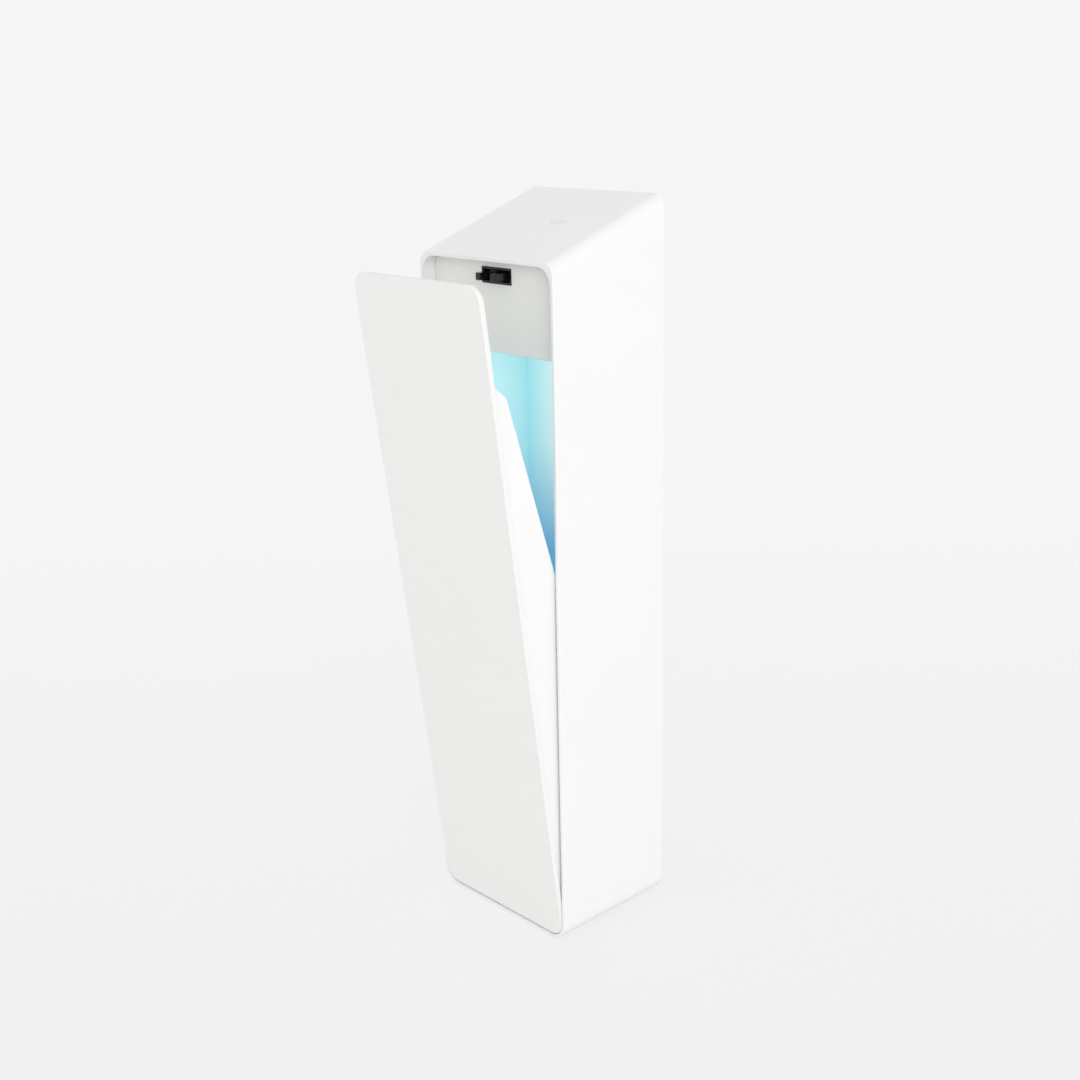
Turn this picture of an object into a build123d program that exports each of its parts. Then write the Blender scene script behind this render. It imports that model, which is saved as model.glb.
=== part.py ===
"""Chopstick sterilizer box: a tall wall or counter box with a tilt-out front door.

Millimetres. X runs across the box, +Y to its back, +Z up. The origin is the
middle of the base. The door is modelled as it stands open, tilted forward
against its stops.
"""

import os
from math import cos, radians, sin, tan

from build123d import *

os.makedirs("parts", exist_ok=True)

# ---------------------------------------------------------------- housing
width = 86.0
depth = 68.0
front_height = 316.0
roof_rise = 24.0  # the back stands higher than the front by this
wall = 1.6
corner_radius = 9.5
roof_corner = 5.5  # outside radius along the roof's two side edges
rim_round = 0.5
fit_gap = 0.2  # between a fixed inner piece and the wall beside it

front_y = -depth / 2
rear_y = depth / 2
rear_height = front_height + roof_rise
inner_half = width / 2 - wall
roof_slope = roof_rise / depth

# ---------------------------------------------------------------- door and hinge
door_angle = 7.3  # how far the open door leans forward
door_thickness = 2.5
door_side_gap = 0.3
door_top_gap = 0.4
door_bottom_gap = 0.9
door_corner = 7.5
door_round = 0.45

hinge_inset = 5.0  # axis behind the closed door's front face
hinge_height = 6.0
pin_radius = 1.0
pin_length = 7.2
pin_chamfer = 0.2
pin_end_gap = 0.2
pin_hole_depth = 4.0
bush_radius = 2.0
knuckle_radius = 3.3
knuckle_width = 3.5
knuckle_inset = 4.9  # from the housing's inner wall
hinge_end_gap = 0.3
running_gap = 0.05
lug_foot_width = 4.7
lug_foot_shift = 1.15

knuckle_outer_x = inner_half - knuckle_inset
door_half = inner_half - door_side_gap
door_bottom = wall + door_bottom_gap - hinge_height  # up the door from the axis
rim_drop = wall * (1 + roof_slope**2) ** 0.5
door_top = front_height - rim_drop - door_top_gap - hinge_height
door_length = door_top - door_bottom
door_back = hinge_inset - door_thickness  # the panel's inner face in front of the axis
hinge_y = front_y + hinge_inset
lean = radians(door_angle)

# ---------------------------------------------------------------- fascia and its shelf
fascia_recess = 7.5
fascia_thickness = 2.0
fascia_height = 42.4  # from the shelf's underside to the housing's front top edge
shelf_thickness = 2.0
lip_round = 0.5

fascia_y = front_y + fascia_recess
shelf_z = front_height - fascia_height
shelf_top = shelf_z + shelf_thickness

# ---------------------------------------------------------------- door cheeks
cheek_thickness = 1.6
cheek_gap = 1.1  # beside the housing's wall
cheek_shelf_gap = 2.1
cheek_shoulder_depth = 5.6
cheek_shoulder_drop = 5.5
cheek_round = 5.0
cheek_back_room = 20.8  # shorter than the housing's depth by this
cheek_foot_height = 8.5
cheek_bottom = 3.2
toe_length = 3.6
flange_width = 8.0
flange_thickness = 1.4
flange_bottom = 9.0
flange_top_gap = 4.0
flange_overlap = 1.0  # of the knuckle's foot over the flange
flange_screw_low = 14.0
flange_screw_high = 18.0
door_hole_depth = 1.6
hole_end_gap = 0.1

cheek_top = shelf_z - hinge_height - cheek_shelf_gap  # up the door from the axis
cheek_foot_depth = depth - cheek_back_room  # behind the axis
cheek_outer_x = inner_half - cheek_gap
cheek_inner_x = cheek_outer_x - cheek_thickness

# ---------------------------------------------------------------- door stops
stop_gap = 0.1
stop_pad_thickness = 1.0
stop_block_height = 6.0
stop_depth = 5.2
stop_reach = 2.9  # inwards from the wall
stop_lap = 0.2

stop_start = hinge_y + cheek_foot_depth - stop_lap
stop_z = hinge_height + cheek_foot_depth * sin(lean) + cheek_foot_height * cos(lean) + stop_gap

# ---------------------------------------------------------------- back cover and wall plate
cover_thickness = 2.0
cover_gap = 0.15
well_half = 27.0
well_depth = 3.2
well_wall = 1.6
well_shelf_gap = 11.6
well_room = 6.0  # below the plate when the box is lifted off
rail_reach = 3.4
rail_thickness = 1.4
rail_length = 20.0
plate_length = 112.0
plate_gap = 0.2
plate_travel = 24.0
plate_corner = 3.0
tab_thickness = 1.4
tab_length = 18.0
wall_screw_radius = 2.2
wall_screw_head = 4.2
wall_screw_spacing = 80.0
reflector_thickness = 0.8
reflector_side_gap = 0.4
reflector_bottom = 14.0
reflector_top_gap = 1.6
reflector_corner = 2.0

cover_front_y = rear_y - cover_thickness
well_top = shelf_z - well_shelf_gap
reflector_half = inner_half - reflector_side_gap
bulge_front_y = rear_y - well_depth - well_wall
shelf_rear_y = bulge_front_y - plate_gap
plate_top = well_top - plate_gap
plate_z = plate_top - plate_length / 2
well_bottom = plate_top - plate_length - plate_travel - well_room
rail_spacing = plate_length / 2

# ---------------------------------------------------------------- screws
small_screw_radius = 0.8
small_head_radius = 1.9
small_head_height = 1.2
small_screw_clearance = 0.3
cover_screw_radius = 1.25
cover_head_radius = 2.6
cover_head_height = 1.1
cover_screw_length = 8.0
cover_screw_clearance = 0.3
cover_head_sink = 0.1
head_round_share = 0.3  # of the head's height
recess_depth_share = 0.5
recess_length_share = 1.2  # of the head's radius
recess_width_share = 0.28
screw_post_radius = 3.5
screw_post_length = 9.0
post_inset = 10.0
post_low_z = 9.0
post_drop = 18.0  # of the upper posts below the back's top edge
post_rib = 2.0
ledge_size = (4.9, 8.0, 8.2)
ledge_front_inset = 18.0
ledge_rear_inset = 14.0
ledge_screw_inset = 2.9
ledge_hole_depth = 6.2

post_x = width / 2 - post_inset
post_high_z = rear_height - post_drop
ledge_y = (front_y + ledge_front_inset, rear_y - ledge_rear_inset)

# ---------------------------------------------------------------- latch
latch_drop = 8.7  # below the housing's front top edge
latch_half = 9.4
latch_half_height = 3.45
latch_wall = 0.8
latch_corner = 0.6
latch_proud = 0.2
latch_travel = 5.2
latch_end_gap = 0.3
latch_flange = 3.8
latch_flange_thickness = 1.2
latch_screw_offset = 2.2
latch_hole_depth = 1.2
latch_hole_clearance = 0.1
jaw_x = 5.6
jaw_pivot_depth = 15.2  # behind the housing's front plane
jaw_tip_depth = 0.7
jaw_width = 3.0
jaw_toe_in = 0.9  # the tip stands nearer the middle than the pivot
jaw_root_radius = 1.6
jaw_hook = 0.8
jaw_hook_length = 1.5
jaw_half_height = 1.6
jaw_slot_gap = 0.15
jaw_pin_radius = 0.8
jaw_tip_round = 0.5
pusher_tip_depth = 5.4
pusher_half = 1.8
carriage_front_depth = 12.6
carriage_block_depth = 17.6
carriage_rear_depth = 20.5
carriage_side_gap = 0.3
carriage_top_gap = 0.2
spring_radius = 2.0
spring_wire = 0.45
spring_length = 4.8  # drawn closed up, as when the door is shut
spring_turns = 5

latch_z = front_height - latch_drop
carriage_room = latch_travel + latch_end_gap
latch_depth = carriage_rear_depth + spring_length + 2 * spring_wire + carriage_room + latch_wall
latch_length = latch_depth - fascia_recess + latch_proud
latch_screw_x = latch_half + latch_screw_offset

# ---------------------------------------------------------------- strike and magnet on the door
strike_neck_half = 1.2
strike_head_half = 1.75
strike_half_height = 1.6
strike_base = (15.0, 8.0, 1.4)
strike_corner = 1.5
strike_neck_depth = 8.0  # behind the closed door's front face
strike_tip_depth = 10.2
strike_screw_x = 5.2
strike_root = 0.4  # of the neck in its base
magnet_radius = 2.9
magnet_height = 2.0
magnet_wall = 1.2
magnet_drop = 1.0  # below the height of the charging port
magnet_post_gap = 8.5

# ---------------------------------------------------------------- battery
battery_radius = 9.15
battery_round = 0.8
battery_side_room = 8.9  # for the leads, at each end
battery_inset = 17.5  # axis in front of the back
battery_lift = 1.0
cradle_inset = 7.5
cradle_width = 6.0
cradle_half_depth = 8.5
cradle_base = 2.0
cradle_drop = 3.0
cradle_gap = 0.1
lead_radius = 0.8
lead_pitch = 2.5
lead_bend = 2.0
lead_high = 6.5  # above the cell's axis
lead_low = 3.0
lead_reach_red = 6.5
lead_reach_black = 4.0

battery_length = 2 * (inner_half - battery_side_room)
battery_y = rear_y - battery_inset
battery_z = shelf_top + cradle_base + battery_lift + battery_radius
cradle_x = battery_length / 2 - cradle_inset

# ---------------------------------------------------------------- UV lamp
lamp_battery_pitch = 20.5
window_size = (48.0, 18.0)
window_thickness = 1.5
window_corner = 1.0
aperture_margin = 2.0
aperture_corner = 0.8
window_frame_wall = 1.8
window_frame_height = 2.4
gasket_thickness = 1.6
lamp_board_post_gap = 0.3  # to the control board's posts
lamp_board_depth = 22.0
lamp_board_corner = 2.0
lamp_post_inset = 2.5
lamp_post_radius = 2.0
lamp_hole_depth = 2.6
led_size = 3.6
led_height = 1.2
led_pitch = 14.0
led_count = 3
header_x = -19.0
header_size = (10.2, 2.5)
header_chamfer = 0.4

lamp_y = battery_y - lamp_battery_pitch

# ---------------------------------------------------------------- control board
board_thickness = 1.6
board_lift = 15.4  # above the shelf
board_side_gap = 3.4
board_front_inset = 12.0
board_battery_gap = 2.35
board_corner = 1.5
board_post_inset = (4.5, 3.2)
board_post_radius = 2.2
board_hole_depth = 5.0
controller_x = -8.0
controller_size = (7.0, 7.0, 1.0)
charger_place = (-22.0, 4.0)
charger_size = (5.0, 4.0, 1.4)
inductor_place = (-22.0, -6.0)
inductor_size = (6.0, 6.0, 3.0)
driver_place = (6.0, -5.0)
driver_size = (5.0, 5.0, 1.4)
sensor_inset = 2.2
sensor_size = (4.0, 3.0, 1.5)
status_led_size = (3.2, 1.6, 0.8)
chip_chamfer = 0.15
usb_size = (7.2, 8.9, 3.2)
usb_wall_gap = 0.5
usb_shell = 0.3
usb_back = 1.2
usb_tongue_setback = 1.0
usb_tongue_side_gap = 1.2
usb_tongue_thickness = 0.7
usb_port_gap = 0.25
plug_post_gap = 6.5
plug_inset = 5.0
plug_size = (8.0, 7.0, 5.6)
plug_chamfer = 0.4

board_z = shelf_top + board_lift
board_top = board_z + board_thickness
board_width = 2 * (inner_half - board_side_gap)
board_front_y = front_y + board_front_inset
board_rear_y = battery_y - battery_radius - board_battery_gap
board_mid_y = (board_front_y + board_rear_y) / 2
board_post_x = board_width / 2 - board_post_inset[0]
board_post_y = (board_front_y + board_post_inset[1], board_rear_y - board_post_inset[1])
lamp_board_width = 2 * (board_post_x - board_post_radius - lamp_board_post_gap)
lamp_post_x = lamp_board_width / 2 - lamp_post_inset
plug_place = (board_post_x - plug_post_gap, board_rear_y - plug_inset)
magnet_x = board_post_x - magnet_post_gap
usb_y = board_mid_y

# ---------------------------------------------------------------- status light and charging port
status_size = (10.0, 3.0)
status_x = 10.5
status_inset = 4.0  # from the control board's rear edge
status_lift = 1.0
status_gap = 0.05
port_recess = 0.8
port_corner = 2.0
port_cover_size = (17.4, 8.2)
port_cover_gap = 0.3
port_plug_length = 0.9
port_plug_gap = 0.35

port_z = board_top + usb_size[2] / 2
status_place = (status_x, board_rear_y - status_inset)

# ---------------------------------------------------------------- tray and basket
tray_side_gap = 5.0
tray_front_gap = 12.0
tray_rear_gap = 13.5
tray_height = 10.4
tray_wall = 1.2
tray_round = 5.0
tray_corner = 1.0
basket_gap = 0.3
basket_wall = 1.4
basket_floor_z = 8.0
basket_top_z = 130.0
basket_corner = 5.0
basket_rim_round = 0.4
basket_foot_radius = 3.0
basket_foot_inset = (8.0, 7.0)
slot_width = 3.0
slot_height = 88.0
slot_rise = 20.0  # above the basket's floor
slot_pitch = 9.0
drain_radius = 1.5
drain_count_x = 6
drain_count_y = 3

tray_half = inner_half - tray_side_gap
tray_y = (front_y + tray_front_gap, rear_y - tray_rear_gap)


# ---------------------------------------------------------------- shared forms
def save(part, name):
    """Label one finished piece and write its file."""
    part.label = name
    export_step(part, f"parts/{name}.step")


def roof_at(y):
    """Height of the roof's outer face at a depth."""
    return front_height + roof_slope * (y - front_y)


def body_form(inset, start_y, end_y, roof_radius=corner_radius):
    """The housing's rounded outline, moved inwards, between two depths.

    The roof radius is that of the outline before it is moved inwards.
    """
    drop = inset * (1 + roof_slope**2) ** 0.5
    half = width / 2 - inset
    low_y = front_y - wall
    high_y = rear_y + wall
    with BuildPart() as form:
        with BuildSketch(Plane.YZ.offset(-half)):
            with BuildLine():
                Polyline(
                    (low_y, inset),
                    (high_y, inset),
                    (high_y, roof_at(high_y) - drop),
                    (low_y, roof_at(low_y) - drop),
                    close=True,
                )
            make_face()
        extrude(amount=2 * half)
        corners = form.edges().filter_by(lambda edge: abs(edge.tangent_at(0.5).Y) > 0.5)
        fillet(corners.sort_by(Axis.Z)[:2], corner_radius - inset)
        corners = form.edges().filter_by(lambda edge: abs(edge.tangent_at(0.5).Y) > 0.5)
        fillet(corners.sort_by(Axis.Z)[-2:], roof_radius - inset)
        with BuildSketch(Plane.XZ.offset(-start_y)):
            with Locations((0, rear_height / 2)):
                Rectangle(2 * width, 2 * rear_height)
        extrude(amount=start_y - end_y, mode=Mode.INTERSECT)
    return form.part


def door_face(out):
    """A plane parallel to the open door, this far in front of the hinge axis."""
    normal = (0, -cos(lean), -sin(lean))
    axis_plane = Plane(origin=(0, hinge_y, hinge_height), x_dir=(1, 0, 0), z_dir=normal)
    return axis_plane.offset(out)


def door_side(x):
    """A plane square to the hinge axis: x runs behind it and y up the door."""
    inwards = (0, cos(lean), sin(lean))
    return Plane(origin=(x, hinge_y, hinge_height), x_dir=inwards, z_dir=(1, 0, 0))


def span(side, near_x, far_x):
    """The lower x and the width of a stretch that is mirrored to the left side."""
    low = near_x if side > 0 else -far_x
    return low, far_x - near_x


def screw(origin, direction, shaft_radius, shaft_length, head_radius, head_height):
    """One screw: the origin is under its head and the direction points to its tip."""
    with BuildPart() as one:
        seat = Plane(origin=origin, z_dir=direction)
        with BuildSketch(seat):
            Circle(shaft_radius)
        extrude(amount=shaft_length)
        with BuildSketch(seat):
            Circle(head_radius)
        extrude(amount=-head_height)
        rings = one.edges().filter_by(GeomType.CIRCLE)
        outer_ring = rings.sort_by(lambda edge: (edge @ 0 - seat.origin).dot(seat.z_dir))[0]
        fillet(outer_ring, head_height * head_round_share)
        recess_length = head_radius * recess_length_share
        recess_width = head_radius * recess_width_share
        with BuildSketch(seat.offset(-head_height)):
            Rectangle(recess_length, recess_width)
            Rectangle(recess_width, recess_length)
        extrude(amount=head_height * recess_depth_share, mode=Mode.SUBTRACT)
    return one.part


def small_screws(places, direction, length):
    """A group of the small screws that share one direction and length."""
    return Compound(
        [screw(place, direction, small_screw_radius, length, small_head_radius, small_head_height)
         for place in places]
    )


# ---------------------------------------------------------------- screw places
cover_screw_places = [
    (side * post_x, z) for side in (-1, 1) for z in (post_low_z, post_high_z)
]
ledge_screw_places = [
    (side * (inner_half - ledge_screw_inset), y) for side in (-1, 1) for y in ledge_y
]
flange_screw_heights = [
    flange_bottom + flange_screw_low,
    (flange_bottom + cheek_top) / 2,
    cheek_top - flange_screw_high,
]
flange_screw_x = cheek_inner_x - flange_width / 2

# ---------------------------------------------------------------- housing shell
with BuildPart() as inner_bosses:
    for side in (-1, 1):
        # hinge lug: a round ear on a foot that rises from the floor
        low, length = span(side, knuckle_outer_x + hinge_end_gap, width / 2)
        with BuildSketch(Plane.YZ.offset(low)):
            with Locations((hinge_y, hinge_height)):
                Circle(door_back - hinge_end_gap)
            with Locations((hinge_y + lug_foot_shift, hinge_height / 2)):
                Rectangle(lug_foot_width, hinge_height)
        extrude(amount=length)
        # stop block above the toe of the cheek
        with BuildSketch(Plane.XY.offset(stop_z + stop_pad_thickness)):
            with Locations((side * (width / 2 - stop_reach / 2 - wall / 2), stop_start + stop_depth / 2)):
                Rectangle(stop_reach + wall, stop_depth)
        extrude(amount=stop_block_height)
        # ledges that the fascia's shelf is screwed to
        for y in ledge_y:
            with BuildSketch(Plane.XY.offset(shelf_top + fit_gap)):
                with Locations((side * (inner_half - ledge_size[0] / 2 + wall / 2), y)):
                    Rectangle(ledge_size[0] + wall, ledge_size[1])
            extrude(amount=ledge_size[2])
        # posts for the back cover's screws, each tied to the side wall by a rib
        for z in (post_low_z, post_high_z):
            with BuildSketch(Plane.XZ.offset(-cover_front_y)):
                with Locations((side * post_x, z)):
                    Circle(screw_post_radius)
                with Locations((side * (post_x + width / 2) / 2, z)):
                    Rectangle(width / 2 - post_x, post_rib)
            extrude(amount=screw_post_length)
    add(body_form(wall / 2, front_y, rear_y), mode=Mode.INTERSECT)
    for hole_x in (-knuckle_outer_x - hinge_end_gap - pin_hole_depth, knuckle_outer_x + hinge_end_gap):
        with BuildSketch(Plane.YZ.offset(hole_x)):
            with Locations((hinge_y, hinge_height)):
                Circle(pin_radius)
        extrude(amount=pin_hole_depth, mode=Mode.SUBTRACT)
    with BuildSketch(Plane.XZ.offset(-cover_front_y)):
        with Locations(*cover_screw_places):
            Circle(cover_screw_radius)
    extrude(amount=cover_screw_length, mode=Mode.SUBTRACT)
    with BuildSketch(Plane.XY.offset(shelf_top + fit_gap)):
        with Locations(*ledge_screw_places):
            Circle(small_screw_radius)
    extrude(amount=ledge_hole_depth, mode=Mode.SUBTRACT)

with BuildPart() as housing_shell:
    add(body_form(0, front_y, rear_y, roof_corner))
    add(body_form(wall, front_y - 1, rear_y + 1), mode=Mode.SUBTRACT)
    for end in (Axis.Y, -Axis.Y):
        end_face = housing_shell.faces().sort_by(end)[0]
        fillet(end_face.outer_wire().edges(), rim_round)
    add(inner_bosses.part)
    # charging port and the shallow seat of its cover, in the left wall
    with BuildSketch(Plane.YZ.offset(-width / 2)):
        with Locations((usb_y, port_z)):
            RectangleRounded(
                port_cover_size[0] + 2 * port_cover_gap, port_cover_size[1] + 2 * port_cover_gap, port_corner
            )
    extrude(amount=port_recess, mode=Mode.SUBTRACT)
    with BuildSketch(Plane.YZ.offset(-width / 2)):
        with Locations((usb_y, port_z)):
            SlotOverall(usb_size[1] + 2 * usb_port_gap, usb_size[2] + 2 * usb_port_gap)
    extrude(amount=2 * wall, mode=Mode.SUBTRACT)
    # slot in the roof for the status light
    with BuildSketch(Plane.XY.offset(front_height)):
        with Locations(status_place):
            SlotOverall(status_size[0] + 2 * status_gap, status_size[1] + 2 * status_gap)
    extrude(amount=rear_height - front_height, mode=Mode.SUBTRACT)
save(housing_shell.part, "housing_shell")

# ---------------------------------------------------------------- back cover
with BuildPart() as back_cover:
    add(body_form(wall + cover_gap, cover_front_y, rear_y))
    with BuildSketch(Plane.XZ.offset(-bulge_front_y)):
        with Locations((0, (well_bottom + well_top) / 2)):
            Rectangle(2 * (well_half + well_wall), well_top - well_bottom + 2 * well_wall)
    extrude(amount=-(cover_front_y - bulge_front_y))
    with BuildSketch(Plane.XZ.offset(-rear_y)):
        with Locations((0, (well_bottom + well_top) / 2)):
            Rectangle(2 * well_half, well_top - well_bottom)
    extrude(amount=well_depth, mode=Mode.SUBTRACT)
    # rails that hold the wall plate's tabs
    with BuildSketch(Plane.XZ.offset(-rear_y)):
        with Locations((0, plate_z)):
            with GridLocations(2 * well_half - rail_reach, rail_spacing, 2, 2):
                Rectangle(rail_reach, rail_length)
    extrude(amount=rail_thickness)
    with BuildSketch(Plane.XZ.offset(-rear_y)):
        with Locations(*cover_screw_places):
            Circle(cover_head_radius + cover_screw_clearance)
    extrude(amount=cover_head_height + cover_head_sink, mode=Mode.SUBTRACT)
    with BuildSketch(Plane.XZ.offset(-rear_y)):
        with Locations(*cover_screw_places):
            Circle(cover_screw_radius + cover_screw_clearance)
    extrude(amount=cover_thickness, mode=Mode.SUBTRACT)
save(back_cover.part, "back_cover")

cover_screws = Compound(
    [
        screw(
            (x, rear_y - cover_head_height - cover_head_sink, z),
            (0, -1, 0),
            cover_screw_radius,
            cover_screw_length,
            cover_head_radius,
            cover_head_height,
        )
        for x, z in cover_screw_places
    ]
)
save(cover_screws, "back_cover_screws")

# ---------------------------------------------------------------- wall plate
with BuildPart() as wall_plate:
    plate_half = well_half - rail_reach - 2 * plate_gap
    with BuildSketch(Plane.XZ.offset(-rear_y)):
        with Locations((0, plate_z)):
            RectangleRounded(2 * plate_half, plate_length, plate_corner)
    extrude(amount=well_depth - plate_gap)
    with BuildSketch(Plane.XZ.offset(-(rear_y - rail_thickness - plate_gap))):
        with Locations((0, plate_z)):
            with GridLocations(0, rail_spacing, 1, 2):
                Rectangle(2 * (well_half - 2 * plate_gap), tab_length)
    extrude(amount=tab_thickness)
    with Locations(
        Plane(origin=(0, rear_y - well_depth + plate_gap, plate_z), x_dir=(1, 0, 0), z_dir=(0, -1, 0))
    ):
        with GridLocations(0, wall_screw_spacing, 1, 2):
            CounterSinkHole(wall_screw_radius, wall_screw_head, well_depth)
save(wall_plate.part, "wall_plate")

# ---------------------------------------------------------------- reflector behind the chamber
reflector_top = shelf_z - reflector_top_gap
with BuildPart() as reflector_panel:
    with BuildSketch(Plane.XZ.offset(-bulge_front_y)):
        with Locations((0, (reflector_bottom + reflector_top) / 2)):
            RectangleRounded(2 * reflector_half, reflector_top - reflector_bottom, reflector_corner)
    extrude(amount=reflector_thickness)
save(reflector_panel.part, "reflector_panel")

# ---------------------------------------------------------------- upper fascia with its shelf
aperture = (window_size[0] - 2 * aperture_margin, window_size[1] - 2 * aperture_margin)
frame_size = (window_size[0] + 2 * fit_gap, window_size[1] + 2 * fit_gap)
lamp_board_z = shelf_top + window_thickness + gasket_thickness
board_post_places = [(side * board_post_x, y) for side in (-1, 1) for y in board_post_y]

with BuildPart() as upper_fascia:
    add(body_form(wall + fit_gap, fascia_y, fascia_y + fascia_thickness))
    with BuildSketch(Plane.XY):
        with Locations((0, fascia_y)):
            Rectangle(width, 4 * fascia_thickness)
    extrude(amount=shelf_z, mode=Mode.SUBTRACT)
    with BuildSketch(Plane.XY.offset(shelf_z)):
        with Locations((0, (fascia_y + shelf_rear_y) / 2)):
            Rectangle(2 * (inner_half - fit_gap), shelf_rear_y - fascia_y)
    extrude(amount=shelf_thickness)
    with BuildSketch(Plane.XY.offset(shelf_top)):
        with Locations((0, lamp_y)):
            Rectangle(frame_size[0] + 2 * window_frame_wall, frame_size[1] + 2 * window_frame_wall)
            Rectangle(*frame_size, mode=Mode.SUBTRACT)
    extrude(amount=window_frame_height)
    with BuildSketch(Plane.XY.offset(shelf_top)):
        with Locations((-lamp_post_x, lamp_y), (lamp_post_x, lamp_y)):
            Circle(lamp_post_radius)
    extrude(amount=lamp_board_z - shelf_top)
    with BuildSketch(Plane.XY.offset(shelf_top)):
        with Locations(*board_post_places):
            Circle(board_post_radius)
    extrude(amount=board_z - shelf_top)
    # openings and screw holes
    with BuildSketch(Plane.XZ.offset(-fascia_y)):
        with Locations((0, latch_z)):
            Rectangle(2 * (latch_half + fit_gap), 2 * (latch_half_height + fit_gap))
    extrude(amount=-fascia_thickness, mode=Mode.SUBTRACT)
    with BuildSketch(Plane.XY.offset(shelf_z)):
        with Locations((0, lamp_y)):
            Rectangle(*aperture)
        with Locations(*ledge_screw_places):
            Circle(small_screw_radius + small_screw_clearance)
    extrude(amount=shelf_thickness, mode=Mode.SUBTRACT)
    with BuildSketch(Plane.XY.offset(lamp_board_z)):
        with Locations((-lamp_post_x, lamp_y), (lamp_post_x, lamp_y)):
            Circle(small_screw_radius)
    extrude(amount=-lamp_hole_depth, mode=Mode.SUBTRACT)
    with BuildSketch(Plane.XY.offset(board_z)):
        with Locations(*board_post_places):
            Circle(small_screw_radius)
    extrude(amount=-board_hole_depth, mode=Mode.SUBTRACT)
    with BuildSketch(Plane.XZ.offset(-(fascia_y + fascia_thickness))):
        with Locations((-latch_screw_x, latch_z), (latch_screw_x, latch_z)):
            Circle(small_screw_radius)
    extrude(amount=latch_hole_depth, mode=Mode.SUBTRACT)
    low_edges = upper_fascia.faces().sort_by(Axis.Z)[0].edges().filter_by(Axis.X)
    fillet(low_edges.sort_by(Axis.Y)[0], lip_round)
save(upper_fascia.part, "upper_fascia")

shelf_screws = small_screws(
    [(x, y, shelf_z) for x, y in ledge_screw_places],
    (0, 0, 1),
    shelf_thickness + fit_gap + ledge_hole_depth - hole_end_gap,
)
save(shelf_screws, "fascia_screws")

# ---------------------------------------------------------------- UV window, gasket and lamp board
with BuildPart() as uv_window:
    with BuildSketch(Plane.XY.offset(shelf_top)):
        with Locations((0, lamp_y)):
            RectangleRounded(*window_size, window_corner)
    extrude(amount=window_thickness)
save(uv_window.part, "uv_window")

with BuildPart() as window_gasket:
    with BuildSketch(Plane.XY.offset(shelf_top + window_thickness)):
        with Locations((0, lamp_y)):
            RectangleRounded(*window_size, window_corner)
            RectangleRounded(*aperture, aperture_corner, mode=Mode.SUBTRACT)
    extrude(amount=gasket_thickness)
save(window_gasket.part, "window_gasket")

with BuildPart() as lamp_board:
    with BuildSketch(Plane.XY.offset(lamp_board_z)):
        with Locations((0, lamp_y)):
            RectangleRounded(lamp_board_width, lamp_board_depth, lamp_board_corner)
        with Locations((-lamp_post_x, lamp_y), (lamp_post_x, lamp_y)):
            Circle(small_screw_radius + small_screw_clearance, mode=Mode.SUBTRACT)
    extrude(amount=board_thickness)
save(lamp_board.part, "lamp_board")

with BuildPart() as uv_leds:
    with BuildSketch(Plane.XY.offset(lamp_board_z - led_height)):
        with Locations((0, lamp_y)):
            with GridLocations(led_pitch, 1, led_count, 1):
                Rectangle(led_size, led_size)
    extrude(amount=led_height)
save(uv_leds.part, "uv_leds")

lamp_screws = small_screws(
    [(side * lamp_post_x, lamp_y, lamp_board_z + board_thickness) for side in (-1, 1)],
    (0, 0, -1),
    board_thickness + lamp_hole_depth - hole_end_gap,
)
save(lamp_screws, "lamp_board_screws")

# ---------------------------------------------------------------- control board and what it carries
with BuildPart() as control_board:
    with BuildSketch(Plane.XY.offset(board_z)):
        with Locations((0, board_mid_y)):
            RectangleRounded(board_width, board_rear_y - board_front_y, board_corner)
        with Locations(*board_post_places):
            Circle(small_screw_radius + small_screw_clearance, mode=Mode.SUBTRACT)
    extrude(amount=board_thickness)
save(control_board.part, "control_board")

board_screws = small_screws(
    [(x, y, board_top) for x, y in board_post_places],
    (0, 0, -1),
    board_thickness + board_hole_depth - hole_end_gap,
)
save(board_screws, "control_board_screws")

chips = []
for place, size in (
    ((controller_x, board_mid_y), controller_size),
    ((charger_place[0], board_mid_y + charger_place[1]), charger_size),
    ((inductor_place[0], board_mid_y + inductor_place[1]), inductor_size),
    ((driver_place[0], board_mid_y + driver_place[1]), driver_size),
    ((magnet_x, board_front_y + sensor_inset), sensor_size),
    (status_place, status_led_size),
):
    with BuildPart() as chip:
        with BuildSketch(Plane.XY.offset(board_top)):
            with Locations(place):
                Rectangle(size[0], size[1])
        extrude(amount=size[2])
        chamfer(chip.faces().sort_by(Axis.Z)[-1].edges(), chip_chamfer)
    chips.append(chip.part)
save(Compound(chips), "board_chips")

usb_mouth_x = -inner_half + usb_wall_gap
with BuildPart() as usb_socket:
    with BuildSketch(Plane.YZ.offset(usb_mouth_x)):
        with Locations((usb_y, port_z)):
            SlotOverall(usb_size[1], usb_size[2])
    extrude(amount=usb_size[0])
    with BuildSketch(Plane.YZ.offset(usb_mouth_x)):
        with Locations((usb_y, port_z)):
            SlotOverall(usb_size[1] - 2 * usb_shell, usb_size[2] - 2 * usb_shell)
    extrude(amount=usb_size[0] - usb_back, mode=Mode.SUBTRACT)
    with BuildSketch(Plane.YZ.offset(usb_mouth_x + usb_tongue_setback)):
        with Locations((usb_y, port_z)):
            Rectangle(usb_size[1] - 2 * usb_tongue_side_gap, usb_tongue_thickness)
    extrude(amount=usb_size[0] - usb_tongue_setback)
save(usb_socket.part, "usb_socket")

with BuildPart() as battery_plug:
    with BuildSketch(Plane.XY.offset(board_top)):
        with Locations(plug_place):
            Rectangle(plug_size[0], plug_size[1])
    extrude(amount=plug_size[2])
    chamfer(battery_plug.faces().sort_by(Axis.Z)[-1].edges(), plug_chamfer)
save(battery_plug.part, "battery_plug")

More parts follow.
